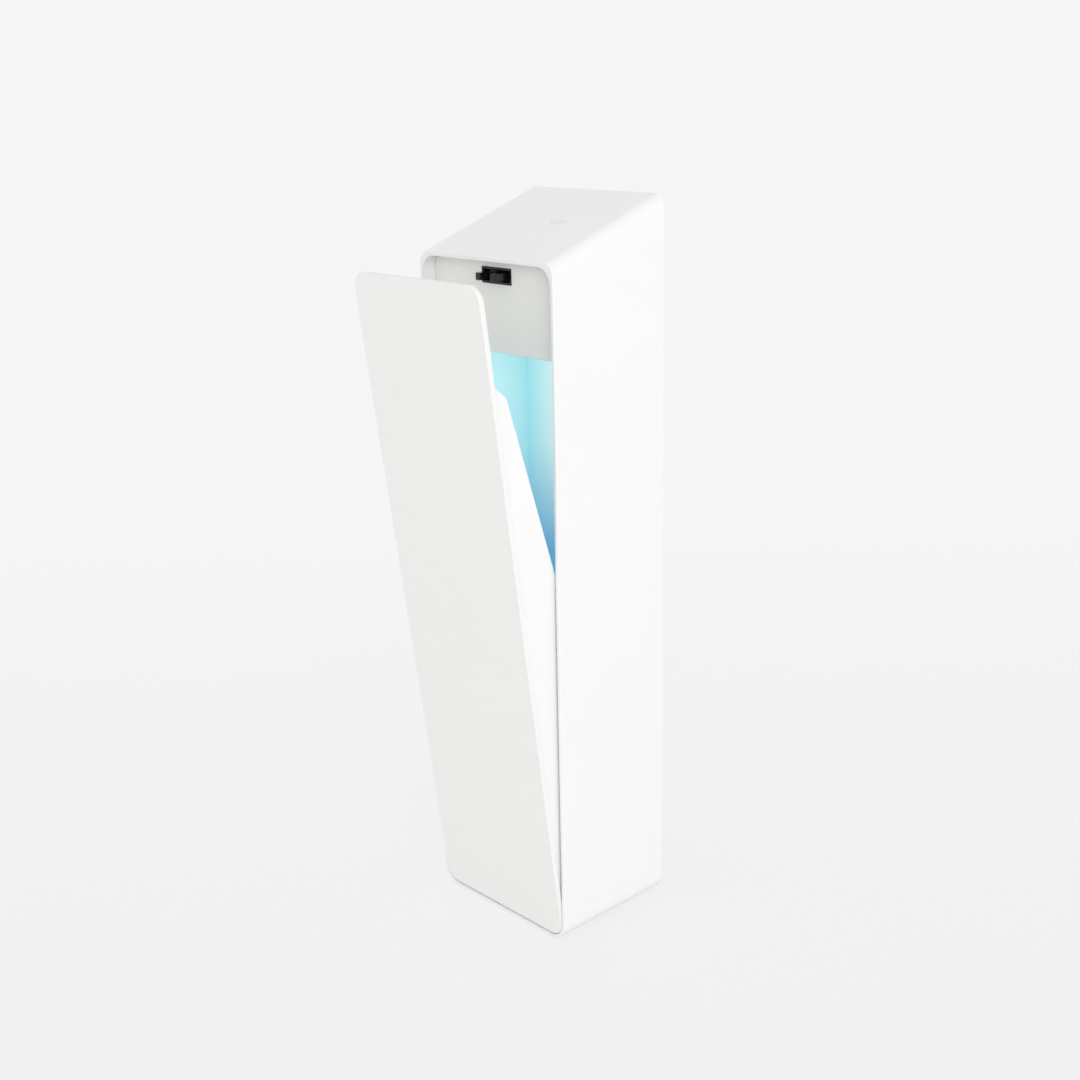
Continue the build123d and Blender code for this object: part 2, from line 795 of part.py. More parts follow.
with BuildPart() as lamp_header:
    with BuildSketch(Plane.XY.offset(lamp_board_z + board_thickness)):
        with Locations((header_x, lamp_y)):
            Rectangle(*header_size)
    extrude(amount=board_z - lamp_board_z - board_thickness)
    chamfer(lamp_header.edges().filter_by(Axis.Z), header_chamfer)
save(lamp_header.part, "lamp_header")

# ---------------------------------------------------------------- battery
with BuildPart() as battery_cell:
    with BuildSketch(Plane.YZ.offset(-battery_length / 2)):
        with Locations((battery_y, battery_z)):
            Circle(battery_radius)
    extrude(amount=battery_length)
    fillet(battery_cell.edges().filter_by(GeomType.CIRCLE), battery_round)
save(battery_cell.part, "battery_cell")

with BuildPart() as battery_cradle:
    with BuildSketch(Plane.XY.offset(shelf_top)):
        with Locations((0, battery_y)):
            Rectangle(2 * cradle_x + cradle_width, 2 * cradle_half_depth)
    extrude(amount=cradle_base)
    with BuildSketch(Plane.XY.offset(shelf_top)):
        with Locations((-cradle_x, battery_y), (cradle_x, battery_y)):
            Rectangle(cradle_width, 2 * cradle_half_depth)
    extrude(amount=battery_z - shelf_top - cradle_drop)
    with BuildSketch(Plane.YZ.offset(-width / 2)):
        with Locations((battery_y, battery_z)):
            Circle(battery_radius + cradle_gap)
    extrude(amount=width, mode=Mode.SUBTRACT)
save(battery_cradle.part, "battery_cradle")

leads = []
for lead_z, plug_y, reach in (
    (battery_z + lead_high, plug_place[1] - lead_pitch / 2, lead_reach_red),
    (battery_z + lead_low, plug_place[1] + lead_pitch / 2, lead_reach_black),
):
    plug_face_x = plug_place[0] + plug_size[0] / 2
    entry_z = board_top + plug_size[2] / 2
    with BuildPart() as lead:
        with BuildLine():
            FilletPolyline(
                (battery_length / 2, battery_y, lead_z),
                (battery_length / 2 + reach, battery_y, lead_z),
                (battery_length / 2 + reach, plug_y, entry_z),
                (plug_face_x, plug_y, entry_z),
                radius=lead_bend,
            )
        with BuildSketch(Plane(origin=(battery_length / 2, battery_y, lead_z), z_dir=(1, 0, 0))):
            Circle(lead_radius)
        sweep()
    leads.append(lead.part)
save(leads[0], "battery_lead_red")
save(leads[1], "battery_lead_black")

# ---------------------------------------------------------------- status light in the roof
with BuildPart() as status_light:
    with BuildSketch(Plane.XY.offset(board_top + status_lift)):
        with Locations(status_place):
            SlotOverall(*status_size)
    extrude(amount=rear_height - board_top)
    roof_plane = Plane(origin=(0, front_y, front_height), x_dir=(1, 0, 0), z_dir=(0, -roof_slope, 1))
    split(bisect_by=roof_plane, keep=Keep.BOTTOM)
save(status_light.part, "status_light")

# ---------------------------------------------------------------- charging port's cover
with BuildPart() as port_cover:
    with BuildSketch(Plane.YZ.offset(-width / 2)):
        with Locations((usb_y, port_z)):
            RectangleRounded(*port_cover_size, port_corner - port_cover_gap)
    extrude(amount=port_recess)
    with BuildSketch(Plane.YZ.offset(-width / 2 + port_recess)):
        with Locations((usb_y, port_z)):
            SlotOverall(usb_size[1] - 2 * port_plug_gap, usb_size[2] - 2 * port_plug_gap)
    extrude(amount=port_plug_length)
save(port_cover.part, "port_cover")

# ---------------------------------------------------------------- latch
latch_front_y = fascia_y - latch_proud

with BuildPart() as latch_case:
    with BuildSketch(Plane.XZ.offset(-latch_front_y)):
        with Locations((0, latch_z)):
            RectangleRounded(2 * latch_half, 2 * latch_half_height, latch_corner)
    extrude(amount=-latch_length)
    with BuildSketch(Plane.XZ.offset(-(fascia_y + fascia_thickness))):
        with Locations((0, latch_z)):
            Rectangle(2 * (latch_half + latch_flange), 2 * latch_half_height)
    extrude(amount=-latch_flange_thickness)
    with BuildSketch(Plane.XZ.offset(-latch_front_y)):
        with Locations((0, latch_z)):
            Rectangle(2 * (latch_half - latch_wall), 2 * (latch_half_height - latch_wall))
    extrude(amount=-(latch_length - latch_wall), mode=Mode.SUBTRACT)
    with BuildSketch(Plane.XZ.offset(-(fascia_y + fascia_thickness))):
        with Locations((-latch_screw_x, latch_z), (latch_screw_x, latch_z)):
            Circle(small_screw_radius + latch_hole_clearance)
    extrude(amount=-latch_flange_thickness, mode=Mode.SUBTRACT)
save(latch_case.part, "latch_case")

latch_screws = small_screws(
    [
        (side * latch_screw_x, fascia_y + fascia_thickness + latch_flange_thickness, latch_z)
        for side in (-1, 1)
    ],
    (0, -1, 0),
    latch_flange_thickness + latch_hole_depth - hole_end_gap,
)
save(latch_screws, "latch_screws")

carriage_half = latch_half - latch_wall - carriage_side_gap
carriage_half_height = latch_half_height - latch_wall - carriage_top_gap
jaw_slot_half = jaw_half_height + jaw_slot_gap
with BuildPart() as latch_carriage:
    with BuildSketch(Plane.XZ.offset(-(front_y + carriage_front_depth))):
        with Locations((0, latch_z)):
            Rectangle(2 * carriage_half, 2 * carriage_half_height)
    extrude(amount=-(carriage_rear_depth - carriage_front_depth))
    with BuildSketch(Plane.XZ.offset(-(front_y + carriage_front_depth))):
        with Locations((0, latch_z)):
            Rectangle(2 * carriage_half, 2 * jaw_slot_half)
    extrude(amount=-(carriage_block_depth - carriage_front_depth), mode=Mode.SUBTRACT)
    with BuildSketch(Plane.XY.offset(latch_z - carriage_half_height)):
        with Locations((-jaw_x, front_y + jaw_pivot_depth), (jaw_x, front_y + jaw_pivot_depth)):
            Circle(jaw_pin_radius)
    extrude(amount=2 * carriage_half_height)
    with BuildSketch(Plane.XZ.offset(-(front_y + pusher_tip_depth))):
        with Locations((0, latch_z)):
            Rectangle(2 * pusher_half, 2 * carriage_half_height)
    extrude(amount=-(carriage_block_depth - pusher_tip_depth))
save(latch_carriage.part, "latch_carriage")

for side, name in ((-1, "latch_jaw_left"), (1, "latch_jaw_right")):
    inner_x = jaw_x - jaw_width / 2 - jaw_toe_in
    with BuildPart() as jaw:
        with BuildSketch(Plane.XY.offset(latch_z - jaw_half_height)):
            with BuildLine():
                Polyline(
                    (side * inner_x, front_y + jaw_tip_depth),
                    (side * (inner_x + jaw_width), front_y + jaw_tip_depth),
                    (side * (jaw_x + jaw_root_radius), front_y + jaw_pivot_depth),
                    (side * (jaw_x - jaw_root_radius), front_y + jaw_pivot_depth),
                    (side * (inner_x + jaw_hook), front_y + jaw_tip_depth + jaw_hook_length + jaw_hook),
                    (side * inner_x, front_y + jaw_tip_depth + jaw_hook_length),
                    close=True,
                )
            make_face()
            with Locations((side * jaw_x, front_y + jaw_pivot_depth)):
                Circle(jaw_root_radius)
                Circle(jaw_pin_radius + running_gap, mode=Mode.SUBTRACT)
        extrude(amount=2 * jaw_half_height)
        front_edges = jaw.edges().filter_by(Axis.Z).sort_by(Axis.Y)[:2]
        fillet(front_edges, jaw_tip_round)
    save(jaw.part, name)

with BuildPart() as latch_spring:
    coil_start = (0, front_y + carriage_rear_depth + spring_wire, latch_z)
    with BuildLine() as coil:
        Helix(spring_length / spring_turns, spring_length, spring_radius, coil_start, (0, 1, 0))
    with BuildSketch(Plane(origin=coil.line @ 0, z_dir=coil.line % 0)):
        Circle(spring_wire)
    sweep(is_frenet=True)
save(latch_spring.part, "latch_spring")

# ---------------------------------------------------------------- door panel
strike_up = latch_z - hinge_height
magnet_up = port_z - magnet_drop - hinge_height
door_mid = (door_top + door_bottom) / 2

with BuildPart() as door_panel:
    with BuildSketch(door_face(door_back)):
        with Locations((0, door_mid)):
            RectangleRounded(2 * door_half, door_length, door_corner)
    extrude(amount=door_thickness)
    front_face = door_panel.faces().sort_by(Axis.Y)[0]
    fillet(front_face.outer_wire().edges(), door_round)
    with BuildSketch(door_face(door_back)):
        with Locations((magnet_x, magnet_up)):
            Circle(magnet_radius + magnet_wall)
            Circle(magnet_radius, mode=Mode.SUBTRACT)
    extrude(amount=-magnet_height)
    with BuildSketch(door_face(door_back)):
        with Locations(
            *[(side * flange_screw_x, up) for side in (-1, 1) for up in flange_screw_heights],
            (-strike_screw_x, strike_up),
            (strike_screw_x, strike_up),
        ):
            Circle(small_screw_radius)
    extrude(amount=door_hole_depth, mode=Mode.SUBTRACT)
save(door_panel.part, "door_panel")

with BuildPart() as door_magnet:
    with BuildSketch(door_face(door_back)):
        with Locations((magnet_x, magnet_up)):
            Circle(magnet_radius)
    extrude(amount=-magnet_height)
save(door_magnet.part, "door_magnet")

# ---------------------------------------------------------------- door cheeks with their hinge knuckles
for side, name in ((-1, "door_cheek_left"), (1, "door_cheek_right")):
    plate_low, plate_width = span(side, cheek_inner_x, cheek_outer_x)
    flange_low, flange_span = span(side, cheek_inner_x - flange_width, cheek_inner_x)
    knuckle_low, knuckle_span = span(side, knuckle_outer_x - knuckle_width, knuckle_outer_x)
    toe_end = cheek_foot_depth + toe_length
    flange_top = cheek_top - flange_top_gap
    with BuildPart() as cheek:
        with BuildSketch(door_side(plate_low)):
            with BuildLine():
                Polyline(
                    (-door_back, cheek_bottom),
                    (toe_end, cheek_bottom),
                    (toe_end, cheek_foot_height - toe_length * tan(lean)),
                    (cheek_foot_depth, cheek_foot_height),
                    (cheek_shoulder_depth - door_back, cheek_top - cheek_shoulder_drop),
                    (-door_back, cheek_top),
                    close=True,
                )
            make_face()
            shoulder = cheek_shoulder_depth - door_back
            corner = vertices().sort_by(
                lambda v: (v.X - shoulder) ** 2 + (v.Y - cheek_top + cheek_shoulder_drop) ** 2
            )[0]
            fillet(corner, cheek_round)
        extrude(amount=plate_width)
        with BuildSketch(door_side(flange_low)):
            with Locations((-door_back + flange_thickness / 2, (flange_bottom + flange_top) / 2)):
                Rectangle(flange_thickness, flange_top - flange_bottom)
        extrude(amount=flange_span)
        with BuildSketch(door_side(knuckle_low)):
            Circle(knuckle_radius)
            with Locations((-door_back + flange_thickness / 2, (flange_bottom + flange_overlap) / 2)):
                Rectangle(flange_thickness, flange_bottom + flange_overlap)
            with Locations((-door_back - knuckle_radius, 0)):
                Rectangle(2 * knuckle_radius, 4 * knuckle_radius, mode=Mode.SUBTRACT)
            Circle(bush_radius, mode=Mode.SUBTRACT)
        extrude(amount=knuckle_span)
        with BuildSketch(door_face(door_back)):
            with Locations(*[(side * flange_screw_x, up) for up in flange_screw_heights]):
                Circle(small_screw_radius + small_screw_clearance)
        extrude(amount=-flange_thickness, mode=Mode.SUBTRACT)
    save(cheek.part, name)

for side, name in ((-1, "hinge_bush_left"), (1, "hinge_bush_right")):
    bush_low, bush_span = span(side, knuckle_outer_x - knuckle_width, knuckle_outer_x)
    with BuildPart() as bush:
        with BuildSketch(door_side(bush_low)):
            Circle(bush_radius)
            Circle(pin_radius + running_gap, mode=Mode.SUBTRACT)
        extrude(amount=bush_span)
    save(bush.part, name)

for side, name in ((-1, "hinge_pin_left"), (1, "hinge_pin_right")):
    pin_end = knuckle_outer_x - knuckle_width - pin_end_gap + pin_length
    pin_low, pin_span = span(side, pin_end - pin_length, pin_end)
    with BuildPart() as pin:
        with BuildSketch(Plane.YZ.offset(pin_low)):
            with Locations((hinge_y, hinge_height)):
                Circle(pin_radius)
        extrude(amount=pin_span)
        chamfer(pin.edges().filter_by(GeomType.CIRCLE), pin_chamfer)
    save(pin.part, name)

door_inwards = Vector(0, cos(lean), sin(lean))
door_upwards = Vector(0, -sin(lean), cos(lean))
hinge_point = Vector(0, hinge_y, hinge_height)
flange_face = hinge_point + door_inwards * (flange_thickness - door_back)
flange_screws = small_screws(
    [
        flange_face + Vector(side * flange_screw_x, 0, 0) + door_upwards * up
        for side in (-1, 1)
        for up in flange_screw_heights
    ],
    -door_inwards,
    flange_thickness + door_hole_depth - hole_end_gap,
)
save(flange_screws, "door_cheek_screws")

# ---------------------------------------------------------------- strike that the latch jaws hold
with BuildPart() as latch_strike:
    with BuildSketch(door_face(door_back)):
        with Locations((0, strike_up)):
            RectangleRounded(strike_base[0], strike_base[1], strike_corner)
    extrude(amount=-strike_base[2])
    head_start = strike_neck_depth - hinge_inset
    head_end = strike_tip_depth - hinge_inset
    with BuildSketch(
        Plane(
            origin=hinge_point + door_upwards * (strike_up - strike_half_height),
            x_dir=(1, 0, 0),
            z_dir=door_upwards,
        )
    ):
        with BuildLine():
            Polyline(
                (-strike_neck_half, strike_base[2] - door_back - strike_root),
                (strike_neck_half, strike_base[2] - door_back - strike_root),
                (strike_neck_half, head_start),
                (strike_head_half, head_start),
                (strike_neck_half, head_end),
                (-strike_neck_half, head_end),
                (-strike_head_half, head_start),
                (-strike_neck_half, head_start),
                close=True,
            )
        make_face()
    extrude(amount=2 * strike_half_height)
    with BuildSketch(door_face(door_back)):
        with Locations((-strike_screw_x, strike_up), (strike_screw_x, strike_up)):
            Circle(small_screw_radius + small_screw_clearance)
    extrude(amount=-strike_base[2], mode=Mode.SUBTRACT)
save(latch_strike.part, "latch_strike")

strike_face = hinge_point + door_inwards * (strike_base[2] - door_back) + door_upwards * strike_up
strike_screws = small_screws(
    [strike_face + Vector(side * strike_screw_x, 0, 0) for side in (-1, 1)],
    -door_inwards,
    strike_base[2] + door_hole_depth - hole_end_gap,
)
save(strike_screws, "strike_screws")

# ---------------------------------------------------------------- rubber pads that the open door rests on
with BuildPart() as stop_pads:
    with BuildSketch(Plane.XY.offset(stop_z)):
        for side in (-1, 1):
            with Locations((side * (inner_half - stop_reach / 2), stop_start + stop_depth / 2)):
                Rectangle(stop_reach, stop_depth)
    extrude(amount=stop_pad_thickness)
save(stop_pads.part, "door_stop_pads")

# ---------------------------------------------------------------- drip tray and basket
tray_mid_y = sum(tray_y) / 2
tray_depth = tray_y[1] - tray_y[0]
with BuildPart() as drip_tray:
    with BuildSketch(Plane.XY.offset(wall)):
        with Locations((0, tray_mid_y)):
            Rectangle(2 * tray_half, tray_depth)
    extrude(amount=tray_height)
    fillet(drip_tray.edges().filter_by(Axis.Y).group_by(Axis.Z)[0], tray_round)
    fillet(drip_tray.edges().filter_by(Axis.Z), tray_corner)
    offset(
        amount=-tray_wall,
        openings=drip_tray.faces().sort_by(Axis.Z)[-1],
        kind=Kind.INTERSECTION,
    )
save(drip_tray.part, "drip_tray")

basket_half = tray_half - tray_wall - basket_gap
basket_depth = tray_depth - 2 * (tray_wall + basket_gap)
with BuildPart() as chopstick_basket:
    with BuildSketch(Plane.XY.offset(basket_floor_z)):
        with Locations((0, tray_mid_y)):
            RectangleRounded(2 * basket_half, basket_depth, basket_corner)
    extrude(amount=basket_top_z - basket_floor_z)
    with BuildSketch(Plane.XY.offset(basket_floor_z + basket_wall)):
        with Locations((0, tray_mid_y)):
            RectangleRounded(
                2 * (basket_half - basket_wall), basket_depth - 2 * basket_wall, basket_corner - basket_wall
            )
    extrude(amount=basket_top_z, mode=Mode.SUBTRACT)
    slot_z = basket_floor_z + slot_rise + slot_height / 2
    with BuildSketch(Plane.XZ.offset(-tray_mid_y + basket_depth)):
        with Locations((0, slot_z)):
            with GridLocations(slot_pitch, 1, int(2 * (basket_half - basket_corner) // slot_pitch), 1):
                SlotOverall(slot_height, slot_width, rotation=90)
    extrude(amount=-2 * basket_depth, mode=Mode.SUBTRACT)
    with BuildSketch(Plane.XY.offset(basket_floor_z)):
        with Locations((0, tray_mid_y)):
            with GridLocations(slot_pitch, slot_pitch, drain_count_x, drain_count_y):
                Circle(drain_radius)
    extrude(amount=basket_wall, mode=Mode.SUBTRACT)
    with BuildSketch(Plane.XY.offset(wall + tray_wall)):
        with Locations((0, tray_mid_y)):
            with GridLocations(
                2 * (basket_half - basket_foot_inset[0]), basket_depth - 2 * basket_foot_inset[1], 2, 2
            ):
                Circle(basket_foot_radius)
    extrude(amount=basket_floor_z - wall - tray_wall)
    fillet(chopstick_basket.faces().sort_by(Axis.Z)[-1].edges(), basket_rim_round)
save(chopstick_basket.part, "chopstick_basket")
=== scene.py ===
# %% [markdown]
# # A chopstick sterilizer box
# The object is a tall white box that stands on a counter or hangs on a wall. Its front door
# tilts forward, and a lamp behind the fascia lights the chamber in cyan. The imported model
# brings every moulded part in at its real place, in metres, with Z up and the door towards
# -Y. This lesson adds the finishes, a few fine pieces, the light and the camera.

import bpy
from math import radians
from mathutils import Matrix, Vector


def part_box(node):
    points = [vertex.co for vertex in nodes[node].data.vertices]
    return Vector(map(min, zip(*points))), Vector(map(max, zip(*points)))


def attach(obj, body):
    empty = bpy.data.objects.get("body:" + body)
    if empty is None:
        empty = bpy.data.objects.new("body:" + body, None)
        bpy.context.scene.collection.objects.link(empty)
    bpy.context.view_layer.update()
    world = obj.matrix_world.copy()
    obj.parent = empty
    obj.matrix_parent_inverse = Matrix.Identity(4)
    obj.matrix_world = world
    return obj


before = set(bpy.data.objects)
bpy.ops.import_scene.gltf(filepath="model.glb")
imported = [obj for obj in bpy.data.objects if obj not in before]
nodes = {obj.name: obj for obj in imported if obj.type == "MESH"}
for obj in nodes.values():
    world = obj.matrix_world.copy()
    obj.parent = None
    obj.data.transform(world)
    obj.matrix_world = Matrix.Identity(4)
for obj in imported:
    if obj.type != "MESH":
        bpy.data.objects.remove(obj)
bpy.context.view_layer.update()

# %% [markdown]
# ## Sizes read from the model
# Finishes and new pieces need a few places: where the chamber ends, how thick the wall is,
# where the lamp sits. Most are read from the parts, so they follow when the model changes;
# the wall's thickness and the corner's radius are given.

# %% Places on the box
MM = 0.001
shell_low, shell_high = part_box("housing_shell")
cover_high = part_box("back_cover")[1]
fascia_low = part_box("upper_fascia")[0]
reflector_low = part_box("reflector_panel")[0]
WALL = 1.6 * MM
CORNER = 9.5 * MM
INNER_HALF = shell_high.x - WALL
FRONT_Y = shell_low.y
SHELF_Z = fascia_low.z
print("chamber:", round(2 * INNER_HALF / MM, 1), "mm wide,", round(SHELF_Z / MM, 1), "mm high")

# %% [markdown]
# ## Small helpers
# A finish is a material whose pattern reads the object coordinates of the part. Because every
# part keeps its place in its mesh, one millimetre of pattern is one millimetre on the object.
# Two helpers keep the cells short: one starts a finish, the other adds a node to it.


# %% Helpers for finishes
def new_finish(name, color, roughness):
    """A material with its shader set to one colour and roughness to start from."""
    finish = bpy.data.materials.new(name)
    finish.use_nodes = True
    shader = finish.node_tree.nodes["Principled BSDF"]
    shader.inputs["Base Color"].default_value = (*color, 1)
    shader.inputs["Roughness"].default_value = roughness
    return finish, shader


def add_node(finish, kind, sockets=None, **settings):
    """One more node; a socket given as a value is joined, and a plain value is typed in."""
    node = finish.node_tree.nodes.new("ShaderNode" + kind)
    for key, value in settings.items():
        setattr(node, key, value)
    for key, value in (sockets or {}).items():
        if isinstance(value, bpy.types.NodeSocket):
            finish.node_tree.links.new(value, node.inputs[key])
        else:
            node.inputs[key].default_value = value
    return node


def join(finish, source, target):
    """A link from one socket to another."""
    finish.node_tree.links.new(source, target)


def place_on(finish):
    """The object coordinates of the part, in metres."""
    return add_node(finish, "TexCoord").outputs["Object"]


# %% [markdown]
# ## Moulded plastic
# Polished ABS is never one flat white. It has a faint flow of lighter and darker areas from
# the mould, a roughness that drifts a little, and a fine orange-peel skin that breaks up
# reflections. A wide noise makes the first two, and a fine noise with a bump the third.


# %% Helper for moulded plastic
FLOW_SCALE = 22.0
GLOSS_LOW = 0.9
GLOSS_HIGH = 1.12
SKIN_DEPTH = 0.1 * MM


def moulded(name, color, roughness, flow=0.012, skin=0.02, skin_size=0.9 * MM):
    """Plastic with a slight flow in its colour and gloss, and a fine moulded skin."""
    finish, shader = new_finish(name, color, roughness)
    place = place_on(finish)
    wide = add_node(finish, "TexNoise", {"Vector": place, "Scale": FLOW_SCALE, "Detail": 3.0})
    darker = tuple(channel * (1 - 2 * flow) for channel in color)
    tone = add_node(
        finish, "Mix", {"Factor": wide.outputs["Fac"], "A": (*color, 1), "B": (*darker, 1)}, data_type="RGBA"
    )
    gloss = add_node(
        finish,
        "MapRange",
        {
            "Value": wide.outputs["Fac"],
            "To Min": roughness * GLOSS_LOW,
            "To Max": roughness * GLOSS_HIGH,
        },
    )
    fine = add_node(finish, "TexNoise", {"Vector": place, "Scale": 1 / skin_size, "Detail": 2.0})
    bump = add_node(
        finish, "Bump", {"Height": fine.outputs["Fac"], "Strength": skin, "Distance": SKIN_DEPTH}
    )
    join(finish, tone.outputs["Result"], shader.inputs["Base Color"])
    join(finish, gloss.outputs["Result"], shader.inputs["Roughness"])
    join(finish, bump.outputs["Normal"], shader.inputs["Normal"])
    return finish


def dress(finish, *names):
    """Give CAD parts a finish."""
    for name in names:
        nodes[name].data.materials.clear()
        nodes[name].data.materials.append(finish)
    print(finish.name, "on", ", ".join(names))


# %% [markdown]
# ## The housing, white outside and with painted lamp light inside
# One moulding is both the white outside and the lit chamber, so its finish has to change
# from place to place. A mask from the object coordinates finds the surfaces inside the
# walls, below the shelf and behind the rim. The plastic stays white there, and the lamp's
# light is painted on it as emission: cyan near the lamp and bluer towards the floor.

# %% Colours of the lamp light painted in the chamber
LAMP_LIGHT_TOP = (0.21, 0.72, 0.74)
LAMP_LIGHT_MIDDLE = (0.20, 0.62, 0.72)
LAMP_LIGHT_LOW = (0.03, 0.24, 0.50)
LAMP_LIGHT_LOW_Z = 0.165
LAMP_LIGHT_MIDDLE_SHARE = 0.5
WALL_PAINTED_LIGHT = 0.35
# Painted shade: the lamp light's colour is multiplied by this in the two back corners.
CORNER_SHADE = (0.30, 0.74, 0.84)
CORNER_REACH = 22 * MM
# Colours of the lamp light painted on the chamber walls, from the bottom up to the lamp.
print("glow from", LAMP_LIGHT_LOW, "at the bottom to", LAMP_LIGHT_TOP, "at the lamp")

# %% [markdown]
# The painted lamp light fades with height, so its colour is a ramp on the height. In the two upright
# corners at the back less of it arrives, so painted shade by distance deepens it there.


# %% Helpers for the lamp's colour
def out_of_corner(finish, place):
    """0 in the two upright corners at the back of the chamber, and 1 away from them."""
    x, y, _ = add_node(finish, "SeparateXYZ", {"Vector": place}).outputs
    side_way = add_node(finish, "Math", {0: x}, operation="ABSOLUTE").outputs["Value"]
    from_corner = add_node(finish, "CombineXYZ", {"X": side_way, "Y": y})
    corner = (INNER_HALF, reflector_low.y, 0)
    distance = add_node(
        finish, "VectorMath", {0: from_corner.outputs["Vector"], 1: corner}, operation="DISTANCE"
    )
    return add_node(
        finish, "MapRange", {"Value": distance.outputs["Value"], "From Min": 0.0, "From Max": CORNER_REACH}
    ).outputs["Result"]


def lamp_color(finish, place, low=LAMP_LIGHT_LOW, middle=LAMP_LIGHT_MIDDLE, top=LAMP_LIGHT_TOP):
    """The colour of the painted lamp light by height, with painted shade a step deeper in the corners."""
    height = add_node(finish, "SeparateXYZ", {"Vector": place}).outputs["Z"]
    share = add_node(finish, "MapRange", {"Value": height, "From Min": LAMP_LIGHT_LOW_Z, "From Max": SHELF_Z})
    ramp = add_node(finish, "ValToRGB", {"Fac": share.outputs["Result"]})
    stops = ramp.color_ramp.elements
    stops[0].color = (*low, 1)
    stops[1].color = (*top, 1)
    stops.new(LAMP_LIGHT_MIDDLE_SHARE).color = (*middle, 1)
    # Painted shade in the two back corners.
    corner_shade = add_node(
        finish,
        "Mix",
        {"Factor": out_of_corner(finish, place), "A": (*CORNER_SHADE, 1), "B": (1, 1, 1, 1)},
        data_type="RGBA",
    )
    return add_node(
        finish,
        "Mix",
        {"Factor": 1.0, "A": ramp.outputs["Color"], "B": corner_shade.outputs["Result"]},
        data_type="RGBA",
        blend_type="MULTIPLY",
    ).outputs["Result"]


# %% [markdown]
# The mask is a product of shares. Each share goes smoothly from 0 to 1 as a surface passes a
# limit: the middle of the wall's thickness, the shelf, the rim and the back cover's face.


# %% Helpers for shares
def step(finish, value, start, end):
    """A smooth share that goes from 0 at start to 1 at end."""
    return add_node(
        finish,
        "MapRange",
        {"Value": value, "From Min": start, "From Max": end},
        interpolation_type="SMOOTHSTEP",
    ).outputs["Result"]


def multiply(finish, first, second):
    """The product of two values."""
    return add_node(finish, "Math", {0: first, 1: second}, operation="MULTIPLY").outputs["Value"]


def beyond(finish, value, start):
    """How far a value has gone past a start, and 0 before it."""
    past = add_node(finish, "Math", {0: value, 1: start}, operation="SUBTRACT")
    return add_node(finish, "Math", {0: past.outputs["Value"], 1: 0.0}, operation="MAXIMUM").outputs["Value"]


# %% Mask of the chamber
WALL_OUT = 0.3
WALL_IN = 0.6
SHELF_BLUR = 0.2 * MM
RIM_START = 1.5 * MM
RIM_END = 15 * MM
BACK_START = 0.5 * MM
BACK_END = 1.2 * MM


def chamber_mask(finish, place):
    """1 on surfaces inside the chamber and 0 outside it.

    The distance from the centre line of the rounded lower corners tells the inner face of
    the moulding from its outer face, on the flat walls and round the corners alike.
    """
    x, y, z = add_node(finish, "SeparateXYZ", {"Vector": place}).outputs
    side_way = add_node(finish, "Math", {0: x}, operation="ABSOLUTE").outputs["Value"]
    down = add_node(finish, "Math", {0: z, 1: -1.0}, operation="MULTIPLY").outputs["Value"]
    reach = add_node(
        finish,
        "CombineXYZ",
        {"X": beyond(finish, side_way, shell_high.x - CORNER), "Y": beyond(finish, down, -CORNER)},
    )
    distance = add_node(finish, "VectorMath", {0: reach.outputs["Vector"]}, operation="LENGTH")
    within = step(finish, distance.outputs["Value"], CORNER - WALL_OUT * WALL, CORNER - WALL_IN * WALL)
    below = step(finish, z, SHELF_Z + SHELF_BLUR, SHELF_Z - SHELF_BLUR)
    behind = step(finish, y, FRONT_Y + RIM_START, FRONT_Y + RIM_END)
    inside_back = step(finish, y, cover_high.y - BACK_START, cover_high.y - BACK_END)
    mask = multiply(finish, within, below)
    mask = multiply(finish, mask, behind)
    return multiply(finish, mask, inside_back)


def paint_lamp_light_inside(finish):
    """Paint the lamp light on the surfaces in the chamber as emission."""
    shader = finish.node_tree.nodes["Principled BSDF"]
    place = place_on(finish)
    strength = multiply(finish, chamber_mask(finish, place), WALL_PAINTED_LIGHT)
    join(finish, lamp_color(finish, place), shader.inputs["Emission Color"])
    join(finish, strength, shader.inputs["Emission Strength"])
    return finish


# %% Housing and back cover
SHELL_WHITE = (0.875, 0.874, 0.87)
# Inside the chamber the housing carries painted lamp light as emission.
shell_finish = paint_lamp_light_inside(moulded("shell_white", SHELL_WHITE, 0.34))
dress(shell_finish, "housing_shell")
back_finish = moulded("cover_white", SHELL_WHITE, 0.34)
dress(back_finish, "back_cover")

# %% [markdown]
# ## Door, cheeks and fascia
# The door has the finer satin of a textured mould, a touch warmer than the polished housing.
# Its cheeks and the fascia are the same resin from a plainer mould; the fascia's white carries
# a painted warm cast of bounce light in its shade.

# %% Door and inner mouldings
DOOR_WHITE = (0.87, 0.87, 0.856)
door_finish = moulded("door_white", DOOR_WHITE, 0.46, skin=0.035, skin_size=0.5 * MM)
dress(door_finish, "door_panel")

CHEEK_WHITE = (0.888, 0.888, 0.882)
cheek_finish = moulded("cheek_white", CHEEK_WHITE, 0.42, skin=0.03, skin_size=0.6 * MM)
dress(cheek_finish, "door_cheek_left", "door_cheek_right")

# The resin's white with a painted warm cast of bounce light, shared by the small inner mouldings.
INNER_WHITE = (0.905, 0.89, 0.856)
inner_finish = moulded("inner_white", INNER_WHITE, 0.42, skin=0.03, skin_size=0.6 * MM)
dress(inner_finish, "wall_plate", "battery_cradle", "battery_plug")
# The fascia's face towards the chamber carries the same painted lamp light.
fascia_finish = paint_lamp_light_inside(moulded("fascia_white", INNER_WHITE, 0.42, skin=0.03, skin_size=0.6 * MM))
dress(fascia_finish, "upper_fascia")
